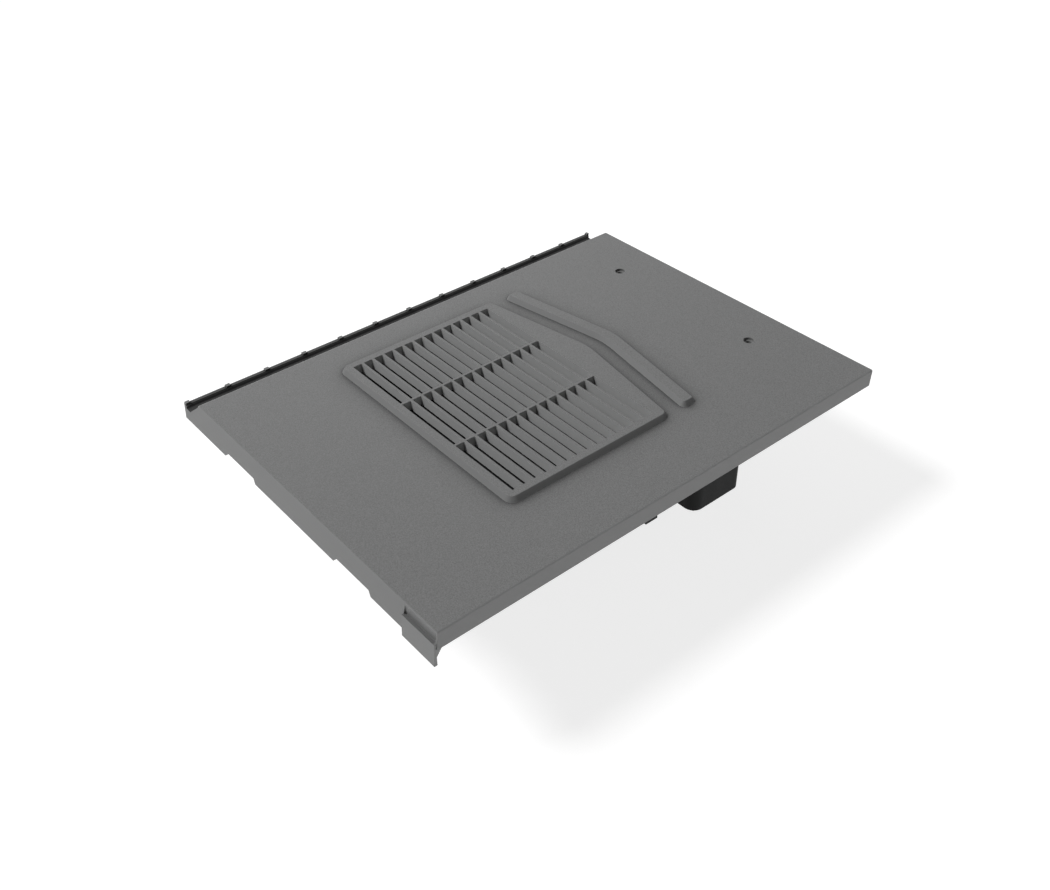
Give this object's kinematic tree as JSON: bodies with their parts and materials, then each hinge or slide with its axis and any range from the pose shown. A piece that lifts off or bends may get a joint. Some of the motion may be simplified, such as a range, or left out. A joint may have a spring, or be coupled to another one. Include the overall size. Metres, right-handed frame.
{
  "type": "roof tile vent",
  "caption": "Flat interlocking roof tile in grey moulded plastic, with a louvred vent pad, a chevron rib and a black duct box with a flat spigot underneath.",
  "frame": {"origin": "midway between the two nail holes, on the plane where the tile rests on its batten", "axes": "+X across the roof to the right, +Y up the roof towards the head, +Z out of the roof"},
  "size_m": [0.3281, 0.4253, 0.123],
  "materials": {
    "tile_grey": "matt",
    "duct_black": "matt"
  },
  "bodies": {
    "root": {"tile_body": "tile_grey", "duct_box": "duct_black"}
  },
  "joints": []
}
